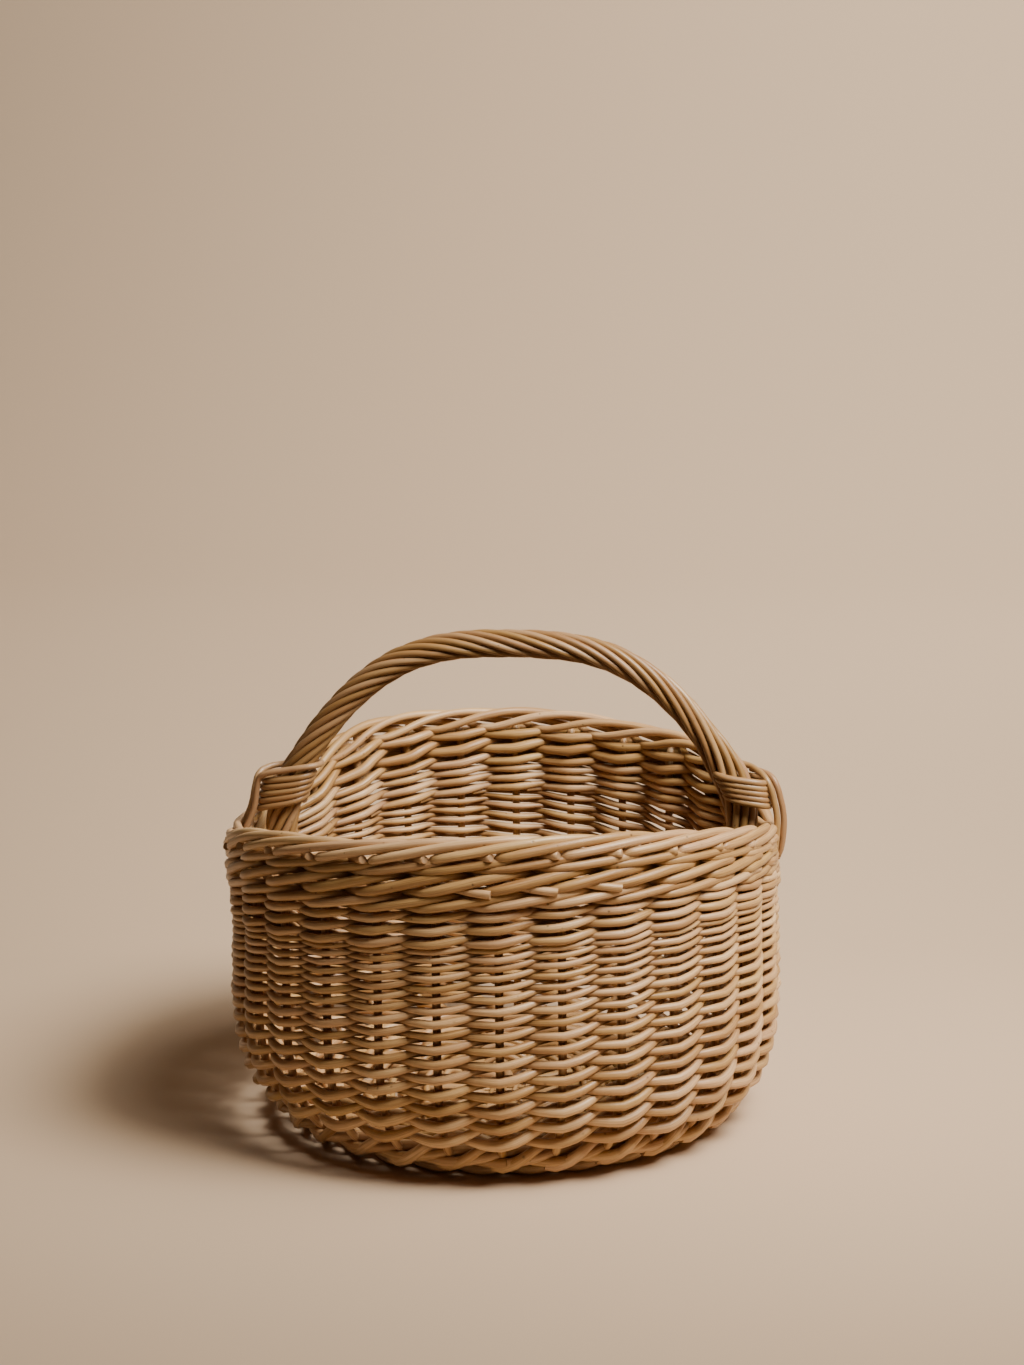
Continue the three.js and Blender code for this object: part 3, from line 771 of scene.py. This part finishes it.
class WeaveWale(bpy.types.Operator):
    """Weave the pairing and waling rows under the border, with their cut ends"""

    bl_idname = "basket.weave_wale"
    bl_label = "Weave the Top Wale"

    def execute(self, context):
        sizes = context.scene.basket_sizes
        piece = Piece("woven_top_wale")
        for number, row in enumerate(PAIRS):
            for start in range(number, number + 2):
                piece.rod(*row_path(piece, start, row, PAIR_OUT, PAIR_RISE, 2, sizes,
                                    start, start + STAKES + ROW_PAST))
        for number, row in enumerate(WALES):
            for strand in range(3):
                start = strand + number
                last = number + STAKES + (strand - 1) % 3 + ROW_PAST
                piece.rod(*row_path(piece, start, row, WALE_OUT, WALE_RISE, 3, sizes,
                                    start, last))
        for stake in range(3):
            path = []
            for passed, out, height in STUB:
                angle = stake_angle(stake + passed)
                point = away(angle) * (wall(angle) + out)
                point.z = band_place(STUB_SHARE, angle)[0] + height
                path.append(point)
            piece.rod(path, [STUB_ROD] * len(path), steps=3)
        piece.finish(["top_wale"], "stake_willow", "stake willow", shading_strength=0.8)
        return {"FINISHED"}


# Base

# The sticks: the turn from one end to the next, their distance side by side, their
# thickness, where the split in one starts, where they start to fan out, two places
# on the way and their ends
FAN_STEP = STEP * 2
STICK_LANE = 0.0082
STICK, STICK_THIN = 0.00375, 0.8
SPLIT_START = 0.0185
FAN_START, FAN_REACHES = 0.024, (0.05, 0.095, 0.1408)
# A strand of a slit stick: its thickness, and its height by the place along the stick
STRAND = 0.0016
STRAND_HEIGHTS = ((-0.03, 0.0009), (-0.02, 0.0024), (-0.01, 0.0030), (0.01, 0.0030),
                  (0.02, 0.0024), (0.03, 0.0009))
# The end that the numbers start from, half a step off the first lane
FIRST_END = 0.5
# The weavers: their thickness, first reach, reach gained in a round of the ends,
# how far they go over and under, the ends they pass and the places for each end
BASE_WEAVER, BASE_FIRST, BASE_PITCH, BASE_SWING = 0.0025, 0.053, 0.013, 0.0061
STICK_ENDS = 14
BASE_PASSES, BASE_PLACES = 78, 4


def turned(point, angle):
    return Matrix.Rotation(angle, 3, "Z") @ Vector(point)


def stick_half(lane):
    """Half of a base stick: straight beside the middle, then fanned out."""
    direction = lane * FAN_STEP
    half = [Vector((x, lane * STICK_LANE, 0)) for x in (SPLIT_START, FAN_START)]
    half += [Vector((reach * math.cos(direction), reach * math.sin(direction), 0))
             for reach in FAN_REACHES]
    return half


def place_stick(points, turn):
    """Turns a stick to its place in the base and lifts it to its height."""
    return [turned(p, turn) + Vector((0, 0, STAKE_FLOOR)) for p in points]


class MakeBase(bpy.types.Operator):
    """Cross the slit and piercing base sticks and weave two rods round them"""

    bl_idname = "basket.make_base"
    bl_label = "Make the Base"

    def execute(self, context):
        turn = stake_angle(FIRST_END) - math.pi / 2 - FIRST_END * FAN_STEP
        for i in range(4):
            lane = i - 1.5
            piece = Piece(f"willow_base_stick_slit_{i + 1}", sides=10)
            for side in (1, -1):
                half = [Vector((side * p.x, p.y, 0)) for p in stick_half(lane)]
                piece.rod(place_stick(half, turn), [STICK * STICK_THIN] + [STICK] * 4, steps=3)
                strand = [Vector((x, lane * STICK_LANE, side * height))
                          for x, height in STRAND_HEIGHTS]
                piece.rod(place_stick(strand, turn), [STRAND] * len(strand), steps=3)
            piece.finish([f"base_stick_slit_{i + 1}"], "base_willow", "base willow")
        for i in range(3):
            half = stick_half(i - 1)
            whole = [Vector((-p.x, p.y, 0)) for p in reversed(half)]
            whole += [Vector((0, (i - 1) * STICK_LANE, 0))] + half
            radii = [STICK] * 4 + [STRAND] * 3 + [STICK] * 4
            piece = Piece(f"willow_base_stick_piercing_{i + 1}", sides=10)
            piece.rod(place_stick(whole, turn + math.pi / 2), radii, steps=3)
            piece.finish([f"base_stick_piercing_{i + 1}"], "base_willow", "base willow")
        for w in range(2):
            piece = Piece(f"willow_base_weaver_{w + 1}")
            path = []
            for i in range(BASE_PASSES * BASE_PLACES):
                n = i / BASE_PLACES
                angle = FAN_STEP * (n + FIRST_END) + math.pi * w
                radius = BASE_FIRST + BASE_PITCH * n / STICK_ENDS
                height = BASE_SWING * math.cos(math.pi * n)
                path.append(Vector((radius * math.cos(angle), radius * math.sin(angle), height)))
            piece.rod(place_stick(path, turn), [BASE_WEAVER] * len(path))
            piece.finish([f"base_weaver_{w + 1}"], "base_willow", "base willow")
        return {"FINISHED"}


# Bow handle

# The arch: its height, how far it falls, the power of its curve, how far its crown
# leans to the right, and how much of it runs on past its spans to the left and right
CROWN, ARCH_RISE, ARCH_POWER, ARCH_SHIFT, OVERHANG = 0.3525, 0.103, 2.87, 0.004, 1.02
SPAN_LEFT, SPAN_RIGHT = 0.161, 0.1685
# The bow's own thickness, and its ends inside the wall: how far in, and two heights
BOW = 0.0056
BOW_INSET, BOW_ENDS = 0.0146, (0.165, 0.179)


def arch_point(along):
    """A place on the arch, from -1 at its left end to 1 at its right end."""
    x = along * OVERHANG * (SPAN_LEFT if along < 0 else SPAN_RIGHT)
    share = abs(along) * OVERHANG
    shift = ARCH_SHIFT * max(1 - share * share, 0)
    return Vector((x + shift, 0, CROWN - ARCH_RISE * share ** ARCH_POWER))


# The legs under the arch, by place across and height
LEFT_LEG = ((-0.1695, 0.197), (-0.1695, 0.21), (-0.1695, 0.224), (-0.1680, 0.236))
RIGHT_LEG = ((0.1755, 0.234), (0.1750, 0.224), (0.1725, 0.21), (0.1710, 0.197))
# How far the rope rods stand off to the sides, by height on each side
FLARES = {"left": ((0, 1.12), (0.215, 1.2), (0.235, 1.28), (0.262, 1.0), (1, 1.0)),
          "right": ((0, 1.05), (0.215, 1.1), (0.24, 1.3), (0.257, 1.42), (0.285, 1.0), (1, 1.0))}


def bow_line(samples=160):
    """The handle's centre line from the left foot to the right, evenly spaced."""
    rough = [Vector((x, 0, z)) for x, z in LEFT_LEG]
    rough += [arch_point(i / 30 - 1) for i in range(61)]
    rough += [Vector((x, 0, z)) for x, z in RIGHT_LEG]
    for _ in range(6):
        inner = [(a + b * 2 + c) / 4 for a, b, c in zip(rough, rough[1:], rough[2:])]
        rough = [rough[0]] + inner + [rough[-1]]
    lengths = [0.0]
    for a, b in zip(rough, rough[1:]):
        lengths.append(lengths[-1] + (b - a).length)
    even, k = [], 0
    for i in range(samples + 1):
        target = lengths[-1] * i / samples
        while k < len(rough) - 2 and lengths[k + 1] < target:
            k += 1
        share = (target - lengths[k]) / (lengths[k + 1] - lengths[k])
        even.append(rough[k].lerp(rough[k + 1], share))
    return even


# The rope rods: their number, their turns round the bow, how much these slacken to
# the right, their distance from its middle line, and how much that varies
ROPE_RODS = 9
ROPE_TURNS, ROPE_SLACK = 3.7, 0.2
ROPE_REACH, ROPE_LIFT, ROPE_VARIES = 0.0079, 0.0002, 0.0001


class BendHandle(bpy.types.Operator):
    """Bend the bow over the basket and wind the rope rods round it"""

    bl_idname = "basket.bend_handle"
    bl_label = "Bend the Handle"

    def execute(self, context):
        sizes = context.scene.basket_sizes
        line = bow_line()
        bow = Piece("willow_handle_bow", sides=12)
        foot = [Vector((STAKE_LINE - BOW_INSET, 0, z)) for z in BOW_ENDS]
        path = [Vector((-p.x, 0, p.z)) for p in foot] + line[::5] + list(reversed(foot))
        bow.rod(path, [BOW] * len(path), steps=3)
        bow.finish(["handle_bow"], "handle_willow", "handle willow")
        front = Vector((0, -1, 0))
        for k in range(ROPE_RODS):
            rope = Piece(f"willow_rope_rod_{k + 1}")
            path = []
            lift = rope.vary(ROPE_LIFT) * sizes.unevenness
            for i in range(0, len(line), 2):
                share = i / (len(line) - 1)
                travel = (line[min(i + 1, len(line) - 1)] - line[max(i - 1, 0)]).normalized()
                above = Vector((-travel.z, 0, travel.x))
                laid = share * (1 - ROPE_SLACK * share * share)
                turn = math.tau * (k / ROPE_RODS + ROPE_TURNS * laid)
                reach = ROPE_REACH + lift + rope.vary(ROPE_VARIES)
                flare = between(FLARES["left" if line[i].x < 0 else "right"], line[i].z)
                spoke = above * math.cos(turn) * flare + front * math.sin(turn)
                path.append(line[i] + spoke * reach)
            rope.rod(path, [sizes.rope / 2] * len(path))
            rope.finish([f"rope_rod_{k + 1}"], "handle_willow", "handle willow")
        return {"FINISHED"}


# Ears and bindings

# An ear's thickness, first at its two lowest places
EAR_TIP, EAR_NECK, EAR = 0.0012, 0.0021, 0.00235
# The wraps: places in a turn, turns, half their depth, and how square they are
WRAP_PLACES, WRAP_TURNS = 16, 5
WRAP_DEPTH, WRAP_SQUARE = 0.0134, 0.75
# Each side's lowest and highest wrap: inner and outer reach, inner and outer height
WRAPS = {"left": ((0.1516, 0.1856, 0.2322, 0.2238), (0.1436, 0.1803, 0.2540, 0.2502)),
         "right": ((0.1622, 0.1934, 0.2393, 0.2332), (0.1526, 0.1901, 0.2595, 0.2543))}
# Each ear rod, from its end in the wale up over the top wrap: reach, place along Y, height
EARS = {
    "ear_left_front": (
        (0.2010, -0.012, 0.186), (0.1978, -0.0115, 0.2), (0.1932, -0.011, 0.2135),
        (0.1872, -0.0110, 0.2285), (0.1845, -0.0115, 0.244), (0.1825, -0.0120, 0.2512),
        (0.1775, -0.0136, 0.2546), (0.162, -0.0140, 0.2578), (0.1495, -0.0135, 0.2598),
        (0.1415, -0.0095, 0.2605), (0.1385, 0.0, 0.26), (0.141, 0.009, 0.259),
        (0.15, 0.0136, 0.2575)),
    "ear_left_back": (
        (0.2045, 0.0005, 0.186), (0.2015, 0.0005, 0.2), (0.1972, 0.0005, 0.2135),
        (0.1912, 0.0, 0.2285), (0.1878, 0.0, 0.244), (0.1855, 0.002, 0.2512),
        (0.180, 0.0085, 0.2546), (0.170, 0.0135, 0.256), (0.158, 0.0138, 0.258)),
    "ear_right_front": (
        (0.1955, -0.0145, 0.197), (0.1970, -0.0130, 0.203), (0.1984, -0.0110, 0.215),
        (0.1984, -0.0095, 0.228), (0.1960, -0.0085, 0.2405), (0.1932, -0.0075, 0.2505),
        (0.1895, -0.0045, 0.2562), (0.1835, 0.004, 0.2595), (0.176, 0.0125, 0.2615),
        (0.163, 0.0138, 0.2640), (0.151, 0.0125, 0.2655)),
    "ear_right_back": (
        (0.1998, -0.0035, 0.197), (0.2013, -0.0030, 0.203), (0.2028, -0.0025, 0.215),
        (0.2028, -0.0015, 0.228), (0.2004, -0.001, 0.2405), (0.1974, 0.0, 0.2500),
        (0.1938, 0.003, 0.2550), (0.187, 0.0098, 0.2572), (0.178, 0.0165, 0.2580)),
}


def squared(value):
    """Draws a sine or cosine outwards, so that a round wrap gets squarer."""
    return math.copysign(abs(value) ** WRAP_SQUARE, value)


class BindFeet(bpy.types.Operator):
    """Set the ear rods at the handle's feet and wrap the bindings round its legs"""

    bl_idname = "basket.bind_feet"
    bl_label = "Set Ears and Bindings"

    def execute(self, context):
        sizes = context.scene.basket_sizes
        for name, places in EARS.items():
            end = -1 if "left" in name else 1
            ear = Piece("willow_" + name, sides=10)
            path = [Vector((end * x, y, z)) for x, y, z in places]
            ear.rod(path, [EAR_TIP, EAR_NECK] + [EAR] * (len(path) - 2), steps=4)
            ear.finish([name], "handle_willow", "handle willow")
        for name, end in (("left", -1), ("right", 1)):
            wrap = Piece(f"willow_binding_{name}")
            path = []
            lowest, highest = WRAPS[name]
            steps = WRAP_TURNS * WRAP_PLACES
            for i in range(steps + 1):
                turn = math.tau * i / WRAP_PLACES
                near, far, near_height, far_height = (
                    mix(low, high, i / steps) for low, high in zip(lowest, highest))
                x = (near + far) / 2 - (far - near) / 2 * squared(math.cos(turn))
                y = WRAP_DEPTH * squared(math.sin(turn))
                height = mix(far_height, near_height, (1 + math.cos(turn)) / 2)
                path.append(Vector((end * x, y, height)))
            wrap.rod(path, [sizes.binding / 2] * len(path))
            wrap.finish([f"binding_{name}"], "handle_willow", "handle willow")
        return {"FINISHED"}


# Stage, lights and camera

# The paper sweep: its left edge and width, its front, the start of its curve up the
# back, that curve's radius, its top, and how far it lies under the basket
SWEEP_LEFT, SWEEP_WIDTH, SWEEP_FRONT, SWEEP_BACK = -6, 12, -5, 2.2
SWEEP_CURVE, SWEEP_TOP, SWEEP_UNDER = 1.5, 6, 0.0002
# The lights' colours, and the place behind the basket that the main ones point at
WARM, SOFT, AIR = (1.0, 0.93, 0.84), (1.0, 0.95, 0.88), (1.0, 0.95, 0.9, 1)
AIR_STRENGTH = 0.02
LIT_PLACE = (0, 0.45, 0.15)
# The camera: its place, lens in millimetres, and its tilt, turn and roll in degrees
CAMERA_PLACE, CAMERA_LENS = (0.309, -2.481, 0.850), 92.3
CAMERA_TILT, CAMERA_TURN, CAMERA_ROLL = 78.1, 7, -0.6


def area_light(name, place, target, size, power, colour, long=None, spread=180):
    """A round light, or an oval one where it is given its long side."""
    lamp = bpy.data.lights.new(name, "AREA")
    lamp.shape = "DISK" if long is None else "ELLIPSE"
    lamp.size = size if long is None else long
    lamp.size_y = size
    lamp.spread = math.radians(spread)
    lamp.energy = power
    lamp.color = colour
    holder = bpy.data.objects.new(name, lamp)
    holder.location = place
    holder.rotation_euler = (Vector(target) - Vector(place)).to_track_quat("-Z", "Y").to_euler()
    bpy.context.scene.collection.objects.link(holder)


class SetStage(bpy.types.Operator):
    """Set up the floor, the lights and the camera"""

    bl_idname = "basket.set_stage"
    bl_label = "Set the Stage"

    def execute(self, context):
        sweep = bmesh.new()
        start = sweep.verts.new((SWEEP_LEFT, SWEEP_FRONT, -SWEEP_UNDER))
        floor = bmesh.ops.extrude_vert_indiv(sweep, verts=[start])["verts"][0]
        floor.co.y = SWEEP_BACK
        bmesh.ops.spin(sweep, geom=[floor], cent=(0, SWEEP_BACK, SWEEP_CURVE - SWEEP_UNDER),
                       axis=(1, 0, 0), angle=math.pi / 2, steps=16)
        sweep.verts.ensure_lookup_table()
        top = max(sweep.verts, key=lambda v: v.co.z)
        high = bmesh.ops.extrude_vert_indiv(sweep, verts=[top])["verts"][0]
        high.co.z = SWEEP_TOP
        side = bmesh.ops.extrude_edge_only(sweep, edges=list(sweep.edges))
        moved = [g for g in side["geom"] if isinstance(g, bmesh.types.BMVert)]
        bmesh.ops.translate(sweep, verts=moved, vec=(SWEEP_WIDTH, 0, 0))
        bmesh.ops.remove_doubles(sweep, verts=sweep.verts, dist=1e-5)
        bmesh.ops.recalc_face_normals(sweep, faces=sweep.faces)
        for face in sweep.faces:
            face.smooth = True
        mesh = bpy.data.meshes.new("studio_sweep")
        sweep.to_mesh(mesh)
        sweep.free()
        stage = bpy.data.objects.new("studio_sweep", mesh)
        context.scene.collection.objects.link(stage)
        paper = bpy.data.materials.new("studio paper")
        paper.use_nodes = True
        shader = paper.node_tree.nodes["Principled BSDF"]
        shader.inputs["Base Color"].default_value = (*context.scene.basket_colours.floor, 1)
        shader.inputs["Roughness"].default_value = 0.85
        mesh.materials.append(paper)

        world = bpy.data.worlds.new("studio air")
        context.scene.world = world
        world.use_nodes = True
        air = world.node_tree.nodes["Background"]
        air.inputs["Color"].default_value = AIR
        air.inputs["Strength"].default_value = AIR_STRENGTH
        area_light("key", (0.98, -0.22, 1.75), LIT_PLACE, size=1.35, power=13.5, colour=WARM,
                   long=1.8, spread=90)
        area_light("highlight", (0.95, -0.5, 1.65), LIT_PLACE, size=0.8, power=13.5,
                   colour=WARM, spread=90)
        area_light("backdrop", (0.7, 1.5, 2.2), (0.4, 3.7, 1.2), size=1.6, power=114,
                   colour=SOFT)

        view = bpy.data.cameras.new("camera")
        view.sensor_fit = "VERTICAL"
        view.sensor_height = 36
        view.lens = CAMERA_LENS
        view.clip_end = 50
        holder = bpy.data.objects.new("camera", view)
        holder.location = CAMERA_PLACE
        aim = Euler((math.radians(CAMERA_TILT), 0, math.radians(CAMERA_TURN)), "XYZ").to_matrix()
        aim = aim @ Matrix.Rotation(math.radians(CAMERA_ROLL), 3, "Z")
        holder.rotation_euler = aim.to_euler()
        context.scene.collection.objects.link(holder)
        context.scene.camera = holder
        return {"FINISHED"}


class BasketPanel(bpy.types.Panel):
    """Sizes, colours and steps of the basket"""

    bl_idname = "VIEW3D_PT_basket"
    bl_label = "Apple Picking Basket"
    bl_space_type = "VIEW_3D"
    bl_region_type = "UI"
    bl_category = "Basket"

    def draw(self, context):
        for group in (context.scene.basket_sizes, context.scene.basket_colours):
            box = self.layout.box()
            for name in group.__annotations__:
                box.prop(group, name)
        for step in STEPS:
            self.layout.operator(step.bl_idname)


STEPS = (WeaveSide, LayStakes, WeaveWale, MakeBase, BendHandle, BindFeet, SetStage)
CLASSES = (BasketSizes, BasketColours, *STEPS, BasketPanel)


def register():
    for part in CLASSES:
        bpy.utils.register_class(part)
    bpy.types.Scene.basket_sizes = PointerProperty(type=BasketSizes)
    bpy.types.Scene.basket_colours = PointerProperty(type=BasketColours)


def unregister():
    del bpy.types.Scene.basket_colours
    del bpy.types.Scene.basket_sizes
    for part in reversed(CLASSES):
        bpy.utils.unregister_class(part)


def main():
    register()
    for step in STEPS:
        group, name = step.bl_idname.split(".")
        getattr(getattr(bpy.ops, group), name)()


if __name__ == "__main__":
    main()
